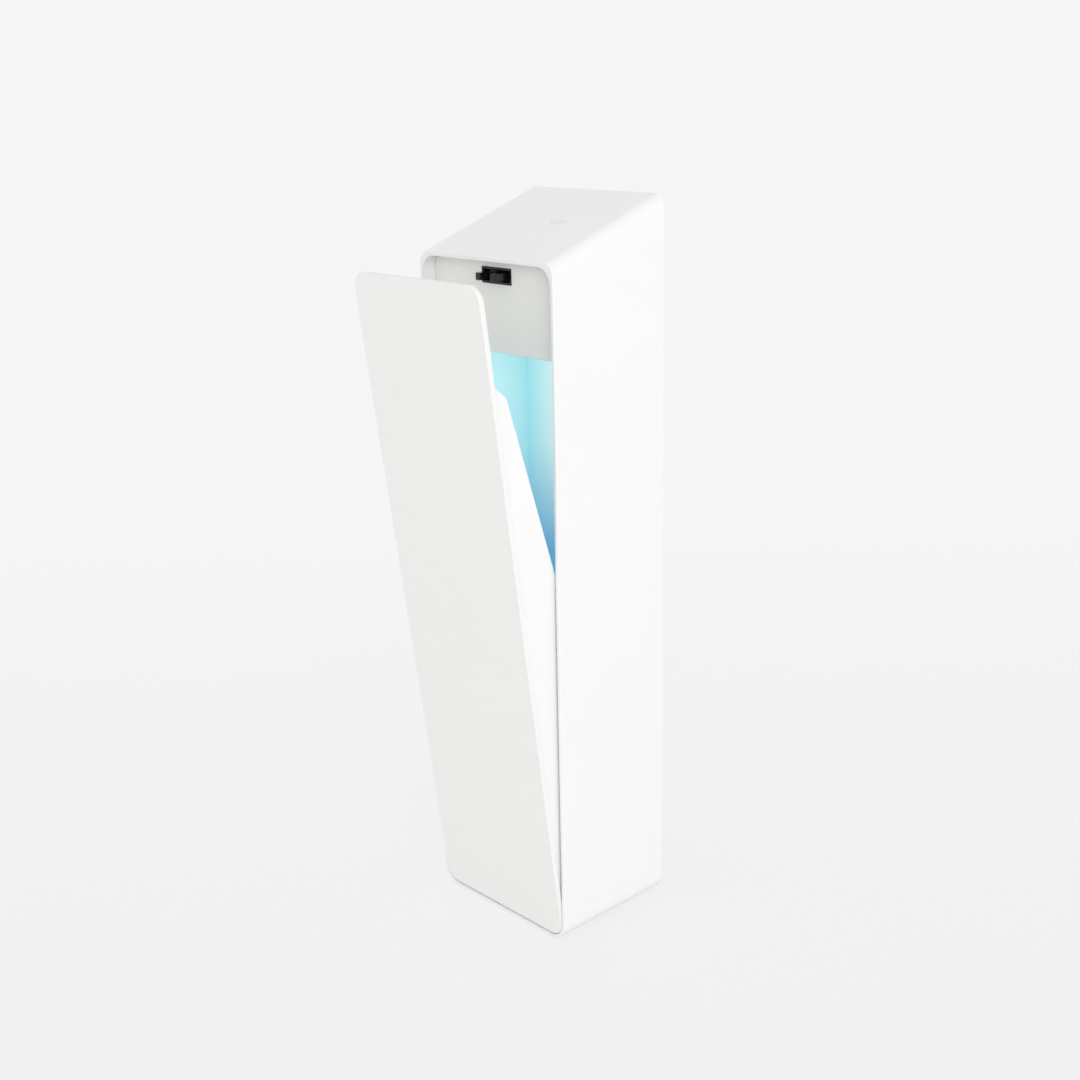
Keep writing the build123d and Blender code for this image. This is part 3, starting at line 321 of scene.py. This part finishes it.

# %% [markdown]
# ## Reflector
# A thin sheet behind the chamber throws the lamp light back. It is satin metal with fine
# drawn lines along its height, and the lamp light on it is painted on as emission, with
# painted shade in the corners.

# %% Reflector sheet
REFLECTOR_BASE = (0.52, 0.56, 0.57)
REFLECTOR_PAINTED_LIGHT = 0.62
REFLECTOR_LIGHT_TOP = (0.72, 0.82, 0.78)
REFLECTOR_LIGHT_MIDDLE = (0.66, 0.76, 0.72)
REFLECTOR_LIGHT_LOW = (0.04, 0.28, 0.52)
DRAWN_SCALE = (900.0, 900.0, 18.0)
reflector_finish, shader = new_finish("reflector_sheet", REFLECTOR_BASE, 0.32)
shader.inputs["Metallic"].default_value = 0.25
place = place_on(reflector_finish)
lit = lamp_color(reflector_finish, place, REFLECTOR_LIGHT_LOW, REFLECTOR_LIGHT_MIDDLE, REFLECTOR_LIGHT_TOP)
lines_place = add_node(reflector_finish, "Mapping", {"Vector": place, "Scale": DRAWN_SCALE})
lines = add_node(reflector_finish, "TexNoise", {"Vector": lines_place.outputs["Vector"], "Scale": 1.0})
drawn = add_node(
    reflector_finish, "MapRange", {"Value": lines.outputs["Fac"], "To Min": 0.26, "To Max": 0.40}
)
join(reflector_finish, drawn.outputs["Result"], shader.inputs["Roughness"])
# Painted lamp light: the emission takes the lamp's colour by height.
join(reflector_finish, lit, shader.inputs["Emission Color"])
shader.inputs["Emission Strength"].default_value = REFLECTOR_PAINTED_LIGHT
dress(reflector_finish, "reflector_panel")

# %% [markdown]
# ## Black latch
# The latch is moulded in black acetal. Its gloss is uneven where the jaws rub, so the
# roughness follows a noise, and the edges catch light.

# %% Latch finish
LATCH_BLACK = (0.010, 0.010, 0.012)
latch_finish = moulded("latch_black", LATCH_BLACK, 0.20, flow=0.15, skin=0.04)
dress(
    latch_finish, "latch_case", "latch_carriage", "latch_jaw_left", "latch_jaw_right", "latch_strike"
)

# %% [markdown]
# ## Metal, rubber and the small plastics
# Screws and pins are zinc-plated steel with fine turning marks, the stops and the gasket are
# soft silicone, and the bushes are natural acetal.


# %% Helper for turned metal
MARK_STRETCH = 0.15
MARK_DEPTH = 0.02 * MM


def turned_metal(name, color, roughness, marks=1400.0):
    """Plated metal whose gloss has fine marks."""
    finish, shader = new_finish(name, color, roughness)
    shader.inputs["Metallic"].default_value = 1.0
    place = place_on(finish)
    stretched = add_node(finish, "Mapping", {"Vector": place, "Scale": (marks, marks, marks * MARK_STRETCH)})
    noise = add_node(finish, "TexNoise", {"Vector": stretched.outputs["Vector"], "Scale": 1.0})
    gloss = add_node(
        finish,
        "MapRange",
        {"Value": noise.outputs["Fac"], "To Min": roughness * 0.7, "To Max": roughness * 1.4},
    )
    bump = add_node(
        finish, "Bump", {"Height": noise.outputs["Fac"], "Strength": 0.1, "Distance": MARK_DEPTH}
    )
    join(finish, gloss.outputs["Result"], shader.inputs["Roughness"])
    join(finish, bump.outputs["Normal"], shader.inputs["Normal"])
    return finish


# %% Metal parts
dress(
    turned_metal("zinc_steel", (0.62, 0.62, 0.64), 0.28),
    "back_cover_screws",
    "fascia_screws",
    "lamp_board_screws",
    "control_board_screws",
    "latch_screws",
    "door_cheek_screws",
    "strike_screws",
    "hinge_pin_left",
    "hinge_pin_right",
    "latch_spring",
    "usb_socket",
)
dress(turned_metal("nickel_magnet", (0.70, 0.69, 0.66), 0.18), "door_magnet")

# %% Rubber and small plastics
rubber_finish = moulded("rubber_grey", (0.30, 0.30, 0.30), 0.75, flow=0.04, skin=0.15, skin_size=0.3 * MM)
dress(rubber_finish, "door_stop_pads", "window_gasket")
port_finish = moulded("silicone_white", (0.78, 0.78, 0.77), 0.62, skin=0.08, skin_size=0.3 * MM)
dress(port_finish, "port_cover")
acetal_finish = moulded("acetal_natural", (0.70, 0.69, 0.64), 0.40)
dress(acetal_finish, "hinge_bush_left", "hinge_bush_right", "lamp_header")
pipe_finish = moulded("light_pipe", (0.80, 0.81, 0.81), 0.24, skin=0.03)
dress(pipe_finish, "status_light")

# %% [markdown]
# ## Basket and tray
# Both are satin polypropylene. Light passes a little way into this plastic, so it gets a
# small amount of subsurface scattering. Its pale cyan base colour is painted lamp light
# from the chamber on white plastic.

# %% Basket and tray finish
# Painted lamp light: the pale cyan stands in for the chamber's light on white plastic.
basket_finish = moulded("basket_white", (0.74, 0.80, 0.81), 0.48, skin=0.03)
shader = basket_finish.node_tree.nodes["Principled BSDF"]
shader.inputs["Subsurface Weight"].default_value = 0.15
shader.inputs["Subsurface Scale"].default_value = 1.5 * MM
dress(basket_finish, "chopstick_basket", "drip_tray")

# %% [markdown]
# ## Lamp, boards and battery
# The lamp parts sit above the chamber behind a quartz window. The boards get their solder
# mask with copper tracks that show through as slightly lighter lines, made by a brick
# pattern, and the cell gets the faint wrinkles of its shrink sleeve.

# %% Lamp parts
window_finish, shader = new_finish("quartz_window", (0.90, 0.97, 0.98), 0.03)
shader.inputs["Transmission Weight"].default_value = 1.0
shader.inputs["IOR"].default_value = 1.46
place = place_on(window_finish)
smear = add_node(window_finish, "TexNoise", {"Vector": place, "Scale": 90.0})
haze = add_node(window_finish, "MapRange", {"Value": smear.outputs["Fac"], "To Min": 0.01, "To Max": 0.07})
join(window_finish, haze.outputs["Result"], shader.inputs["Roughness"])
dress(window_finish, "uv_window")

led_finish, shader = new_finish("led_emitter", (0.75, 0.95, 1.0), 0.25)
place = place_on(led_finish)
cells = add_node(led_finish, "TexVoronoi", {"Vector": place, "Scale": 1800.0})
grid = add_node(led_finish, "MapRange", {"Value": cells.outputs["Distance"], "To Min": 2.2, "To Max": 3.2})
LED_LIGHT = (0.30, 0.85, 1.0)
shader.inputs["Emission Color"].default_value = (*LED_LIGHT, 1)
join(led_finish, grid.outputs["Result"], shader.inputs["Emission Strength"])
dress(led_finish, "uv_leds")


# %% Boards
def board_finish(name, mask_color, track_color, roughness):
    """Solder mask with the tracks below it as slightly different lines."""
    finish, shader = new_finish(name, mask_color, roughness)
    place = place_on(finish)
    tracks = add_node(
        finish,
        "TexBrick",
        {
            "Vector": place,
            "Color1": (*mask_color, 1),
            "Color2": (*mask_color, 1),
            "Mortar": (*track_color, 1),
            "Scale": 260.0,
            "Mortar Size": 0.03,
            "Brick Width": 0.9,
            "Row Height": 0.32,
        },
    )
    bump = add_node(finish, "Bump", {"Height": tracks.outputs["Fac"], "Strength": 0.2, "Distance": 0.03 * MM})
    join(finish, tracks.outputs["Color"], shader.inputs["Base Color"])
    join(finish, bump.outputs["Normal"], shader.inputs["Normal"])
    return finish


dress(board_finish("board_green", (0.02, 0.13, 0.06), (0.04, 0.22, 0.10), 0.35), "control_board")
dress(board_finish("board_white", (0.78, 0.78, 0.76), (0.68, 0.68, 0.66), 0.30), "lamp_board")
dress(moulded("chip_black", (0.02, 0.02, 0.022), 0.55, flow=0.1, skin=0.2, skin_size=0.2 * MM), "board_chips")

# %% Battery and leads
wrap_finish = moulded("battery_wrap", (0.02, 0.10, 0.24), 0.28, flow=0.05, skin=0.12, skin_size=3 * MM)
dress(wrap_finish, "battery_cell")
dress(moulded("lead_red", (0.45, 0.015, 0.01), 0.5, flow=0.05), "battery_lead_red")
dress(moulded("lead_black", (0.015, 0.015, 0.015), 0.5, flow=0.05), "battery_lead_black")

# %% [markdown]
# ## Fine pieces
# The solids carry every main form. A few fine forms are easier to model on a mesh: the lens
# on each lamp diode, the bezel round the window, the rolled rims of basket and tray, and
# the pull tab of the port cover. Each starts from a primitive at its size and place, is
# shaped in edit mode, and then rides on the body that carries it.


# %% Helpers for modelling
SMOOTH_BELOW = radians(35)


def start_piece():
    """Nothing selected, so that an operator acts only on what comes next."""
    if bpy.context.object and bpy.context.object.mode != "OBJECT":
        bpy.ops.object.mode_set(mode="OBJECT")
    bpy.ops.object.select_all(action="DESELECT")


def finish_piece(piece, name, body, finish):
    """Settle the piece's place in its mesh, name it, dress it and let it ride."""
    start_piece()
    piece.select_set(True)
    bpy.context.view_layer.objects.active = piece
    bpy.ops.object.transform_apply(location=True, rotation=True, scale=True)
    piece.name = name
    piece.data.name = name
    piece.data.materials.clear()
    piece.data.materials.append(finish)
    bpy.ops.object.shade_smooth_by_angle(angle=SMOOTH_BELOW)
    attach(piece, body)
    print(name, "with", len(piece.data.polygons), "faces rides on", body)
    return piece


# %% [markdown]
# ### Lenses of the lamp diodes
# Each diode has a low clear dome. A sphere is cut through its middle, its lower half is kept
# and flattened to the gap above the window, and the finished dome is copied to each diode.

# %% Diode lenses
leds_low, leds_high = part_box("uv_leds")
LENS_RADIUS = 1.45 * MM
LENS_HEIGHT = 0.32 * MM
LED_PITCH = 14 * MM
lamp_y = (leds_low.y + leds_high.y) / 2

start_piece()
bpy.ops.mesh.primitive_uv_sphere_add(
    segments=32, ring_count=16, radius=LENS_RADIUS, location=(0, lamp_y, leds_low.z)
)
lens = bpy.context.object
bpy.ops.object.mode_set(mode="EDIT")
bpy.ops.mesh.bisect(
    plane_co=(0, lamp_y, leds_low.z), plane_no=(0, 0, 1), use_fill=True, clear_outer=True
)
bpy.ops.object.mode_set(mode="OBJECT")
lens.scale.z = LENS_HEIGHT / LENS_RADIUS
finish_piece(lens, "lamp_lens_middle", "housing", led_finish)
for name, offset in (("lamp_lens_left", -LED_PITCH), ("lamp_lens_right", LED_PITCH)):
    copy = lens.copy()
    copy.data = lens.data.copy()
    bpy.context.collection.objects.link(copy)
    copy.data.transform(Matrix.Translation((offset, 0, 0)))
    copy.name = name
    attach(copy, "housing")

# %% [markdown]
# ### Rolled rims
# A thin moulding ends in a rounded bead that stiffens it and is kind to the fingers. The
# outline is a plane with rounded corners whose face is deleted. Turned into a curve, it
# takes a round bevel, and it becomes a mesh again at the end.


# %% Helper for a bead round an opening
BEAD_INSET = 0.55
BEAD_DROP = 0.4
BEAD_CORNER_STEPS = 8


def bead(name, node, corner, bead_radius, body, finish):
    """A rounded bead along the top outline of a tray-like part."""
    low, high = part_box(node)
    inset = bead_radius * BEAD_INSET
    middle = (low + high) / 2
    start_piece()
    bpy.ops.mesh.primitive_plane_add(size=1, location=(middle.x, middle.y, high.z - bead_radius * BEAD_DROP))
    piece = bpy.context.object
    piece.scale = (high.x - low.x - 2 * inset, high.y - low.y - 2 * inset, 1)
    bpy.ops.object.transform_apply(location=False, rotation=False, scale=True)
    bpy.ops.object.mode_set(mode="EDIT")
    bpy.ops.mesh.select_all(action="SELECT")
    bpy.ops.mesh.bevel(offset=corner - inset, segments=BEAD_CORNER_STEPS, affect="VERTICES")
    bpy.ops.mesh.delete(type="ONLY_FACE")
    bpy.ops.object.mode_set(mode="OBJECT")
    bpy.ops.object.convert(target="CURVE")
    curve = bpy.context.object
    curve.data.bevel_depth = bead_radius
    curve.data.bevel_resolution = 4
    bpy.ops.object.convert(target="MESH")
    return finish_piece(bpy.context.object, name, body, finish)


# %% Basket and tray rims
bead("basket_rim", "chopstick_basket", 5 * MM, 1.0 * MM, "basket", basket_finish)
bead("tray_rim", "drip_tray", 1 * MM, 0.8 * MM, "drip_tray", basket_finish)

# %% [markdown]
# ### Window bezel
# A slim steel frame holds the quartz window's opening in the shelf. A plane is inset, its
# middle is deleted, and the ring is extruded down a little and bevelled.

# %% Window bezel
BEZEL_INNER = Vector((44 * MM, 14 * MM))
BEZEL_WIDTH = 1.8 * MM
BEZEL_DEPTH = 0.5 * MM
BEZEL_ROUND = 0.15 * MM

start_piece()
bpy.ops.mesh.primitive_plane_add(size=1, location=(0, lamp_y, SHELF_Z))
bezel = bpy.context.object
bezel.scale = (BEZEL_INNER.x + 2 * BEZEL_WIDTH, BEZEL_INNER.y + 2 * BEZEL_WIDTH, 1)
bpy.ops.object.transform_apply(location=False, rotation=False, scale=True)
bpy.ops.object.mode_set(mode="EDIT")
bpy.ops.mesh.select_all(action="SELECT")
bpy.ops.mesh.inset(thickness=BEZEL_WIDTH)
bpy.ops.mesh.delete(type="FACE")
bpy.ops.mesh.select_all(action="SELECT")
bpy.ops.mesh.extrude_region_move(TRANSFORM_OT_translate={"value": (0, 0, -BEZEL_DEPTH)})
bpy.ops.mesh.select_all(action="SELECT")
bpy.ops.mesh.normals_make_consistent(inside=False)
bpy.ops.object.mode_set(mode="OBJECT")
edges = bezel.modifiers.new("soft_edges", "BEVEL")
edges.width = BEZEL_ROUND
edges.segments = 3
bpy.ops.object.modifier_apply(modifier="soft_edges")
bezel_finish = turned_metal("bezel_steel", (0.70, 0.72, 0.73), 0.30, marks=900.0)
finish_piece(bezel, "window_bezel", "housing", bezel_finish)

# %% [markdown]
# ### Pull tab of the port cover
# The charging port hides under a soft cover that is lifted with a fingernail. A block is
# added at the cover's upper edge, reaching a little into it, and a bevel rounds the block.

# %% Pull tab
tab_low, tab_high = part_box("port_cover")
TAB_LENGTH = 6 * MM
TAB_HEIGHT = 1.6 * MM
TAB_PROUD = 0.9 * MM
TAB_LAP = 0.2 * MM
TAB_DROP = 0.75
TAB_ROUND = 0.4 * MM

start_piece()
bpy.ops.mesh.primitive_cube_add(
    size=1,
    location=(tab_low.x - TAB_PROUD / 2, (tab_low.y + tab_high.y) / 2, tab_high.z - TAB_HEIGHT * TAB_DROP),
)
tab = bpy.context.object
tab.scale = (TAB_PROUD + TAB_LAP, TAB_LENGTH, TAB_HEIGHT)
bpy.ops.object.transform_apply(location=False, rotation=False, scale=True)
edges = tab.modifiers.new("soft_edges", "BEVEL")
edges.width = TAB_ROUND
edges.segments = 4
bpy.ops.object.modifier_apply(modifier="soft_edges")
finish_piece(tab, "port_cover_tab", "port_cover", port_finish)

# %% [markdown]
# ## Camera
# The photograph's view was worked out from the box's edges. The camera stands to the right
# of the door, turned 47 degrees from the front, looks down 17 degrees and leans a little
# over one degree. Its lens is given for a sensor 36 mm wide and a square picture.

# %% Camera
CAMERA_PLACE = Vector((0.4929, -0.4642, 0.3908))
CAMERA_TURN = radians(46.976)
CAMERA_DOWN = radians(17.162)
CAMERA_ROLL = radians(-1.249)
LENS = 50.447
SENSOR_WIDTH = 36

bpy.ops.object.camera_add()
camera = bpy.context.object
camera.data.sensor_width = SENSOR_WIDTH
camera.data.lens = LENS
camera.data.clip_start = 0.01
camera.data.clip_end = 200
camera.matrix_world = (
    Matrix.Translation(CAMERA_PLACE)
    @ Matrix.Rotation(CAMERA_TURN, 4, "Z")
    @ Matrix.Rotation(radians(90) - CAMERA_DOWN, 4, "X")
    @ Matrix.Rotation(CAMERA_ROLL, 4, "Z")
)
bpy.context.scene.camera = camera
bpy.context.scene.view_settings.view_transform = "Standard"
print("camera at", tuple(round(axis, 3) for axis in CAMERA_PLACE), "with a lens of", LENS, "mm")

# %% [markdown]
# ## Floor and backdrop
# The box stands on a white studio floor that runs into the backdrop with no line. To the
# camera the floor is mostly its own pale colour, with a share of real shading left near the
# box so that it keeps a faint shadow. The share ends behind the box and in a ring around it.
# For light that bounces it is a plain white floor. Near the box, on the side towards the camera,
# its colour is a step darker: painted shade that fades out where the share ends.

# %% Floor
FLOOR_SIZE = 120
# A step darker than FLOOR_FAR: painted shade on the floor near the box.
FLOOR_NEAR_SHADED = (0.885, 0.885, 0.885)
FLOOR_FAR = (0.918, 0.918, 0.918)
FADE_NEAR = 0.30
FADE_FAR = -0.60
RING_NEAR = 0.9
RING_FAR = 1.8
SHADOW_SHARE = 0.22

start_piece()
bpy.ops.mesh.primitive_plane_add(size=FLOOR_SIZE)
floor = bpy.context.object
floor.name = "floor"
floor_finish, shader = new_finish("studio_floor", FLOOR_NEAR_SHADED, 0.9)
shader.inputs["Specular IOR Level"].default_value = 0.0
place = place_on(floor_finish)
away = add_node(
    floor_finish, "VectorMath", {0: place, 1: CAMERA_PLACE.xy.normalized().to_3d()}, operation="DOT_PRODUCT"
)
behind = add_node(
    floor_finish,
    "MapRange",
    {"Value": away.outputs["Value"], "From Min": FADE_NEAR, "From Max": FADE_FAR},
)
around = add_node(floor_finish, "VectorMath", {0: place}, operation="LENGTH")
ring = add_node(
    floor_finish,
    "MapRange",
    {"Value": around.outputs["Value"], "From Min": RING_NEAR, "From Max": RING_FAR},
)
fade = add_node(
    floor_finish,
    "Math",
    {0: behind.outputs["Result"], 1: ring.outputs["Result"]},
    operation="MAXIMUM",
)
pale = add_node(
    floor_finish,
    "Mix",
    {"Factor": fade.outputs["Value"], "A": (*FLOOR_NEAR_SHADED, 1), "B": (*FLOOR_FAR, 1)},
    data_type="RGBA",
)
join(floor_finish, pale.outputs["Result"], shader.inputs["Base Color"])
own_light = add_node(floor_finish, "Emission", {"Color": pale.outputs["Result"], "Strength": 1.0})
seen = add_node(floor_finish, "LightPath")
own_share = add_node(
    floor_finish, "MapRange", {"Value": fade.outputs["Value"], "To Min": 1 - SHADOW_SHARE, "To Max": 1.0}
)
seen_share = multiply(floor_finish, seen.outputs["Is Camera Ray"], own_share.outputs["Result"])
both = add_node(
    floor_finish,
    "MixShader",
    {0: seen_share, 1: shader.outputs["BSDF"], 2: own_light.outputs["Emission"]},
)
join(floor_finish, both.outputs["Shader"], floor_finish.node_tree.nodes["Material Output"].inputs["Surface"])
floor.data.materials.append(floor_finish)
print("floor", FLOOR_SIZE, "m wide, shadow share", SHADOW_SHARE)

# %% [markdown]
# ## Light
# The studio is bright from all sides, a little brighter at the horizon than overhead, with
# one large soft lamp to the right. It lifts the right wall and the door's cheek, and leaves
# the door face and the roof a step darker. What the camera sees directly, in a reflection or
# through glass is a plain pale backdrop. A small cyan lamp stands in for the diodes and
# lights what is in the chamber.

# %% World
HORIZON_LIGHT = 1.13
ZENITH_LIGHT = 0.80
world = bpy.data.worlds.new("studio")
world.use_nodes = True
bpy.context.scene.world = world
backdrop = world.node_tree.nodes["Background"]
backdrop.inputs["Color"].default_value = (*FLOOR_FAR, 1)
path = add_node(world, "LightPath")
through = add_node(
    world,
    "Math",
    {0: path.outputs["Is Glossy Ray"], 1: path.outputs["Is Transmission Ray"]},
    operation="MAXIMUM",
)
direct = add_node(
    world,
    "Math",
    {0: path.outputs["Is Camera Ray"], 1: through.outputs["Value"]},
    operation="MAXIMUM",
)
sky = add_node(world, "TexCoord")
up = add_node(world, "SeparateXYZ", {"Vector": sky.outputs["Generated"]})
ramp = add_node(
    world, "MapRange", {"Value": up.outputs["Z"], "To Min": HORIZON_LIGHT, "To Max": ZENITH_LIGHT}
)
level = add_node(
    world,
    "MapRange",
    {"Value": direct.outputs["Value"], "To Min": ramp.outputs["Result"], "To Max": 1.0},
)
join(world, level.outputs["Result"], backdrop.inputs["Strength"])
print("world light", HORIZON_LIGHT, "at the horizon and", ZENITH_LIGHT, "overhead")

# %% Soft lamp on the right
KEY_PLACE = Vector((2.1, -1.15, 0.75))
KEY_SIZE = 1.1
KEY_POWER = 17
start_piece()
bpy.ops.object.light_add(type="AREA", location=KEY_PLACE)
key = bpy.context.object
key.data.shape = "SQUARE"
key.data.size = KEY_SIZE
key.data.energy = KEY_POWER
box_middle = Vector((0, 0, shell_high.z / 2))
key.rotation_euler = (box_middle - KEY_PLACE).to_track_quat("-Z", "Y").to_euler()
print("soft lamp of", KEY_POWER, "W,", round((KEY_PLACE - box_middle).length, 2), "m from the box")

# %% Lamp in the chamber
CHAMBER_POWER = 0.003
CHAMBER_LAMP_SIZE = (40 * MM, 12 * MM)
CHAMBER_LAMP_DROP = 1.2 * MM
start_piece()
bpy.ops.object.light_add(type="AREA", location=(0, lamp_y, SHELF_Z - CHAMBER_LAMP_DROP))
chamber_lamp = bpy.context.object
chamber_lamp.data.shape = "RECTANGLE"
chamber_lamp.data.size, chamber_lamp.data.size_y = CHAMBER_LAMP_SIZE
chamber_lamp.data.color = LAMP_LIGHT_TOP
chamber_lamp.data.energy = CHAMBER_POWER
print("chamber lamp of", CHAMBER_POWER, "W under the shelf")
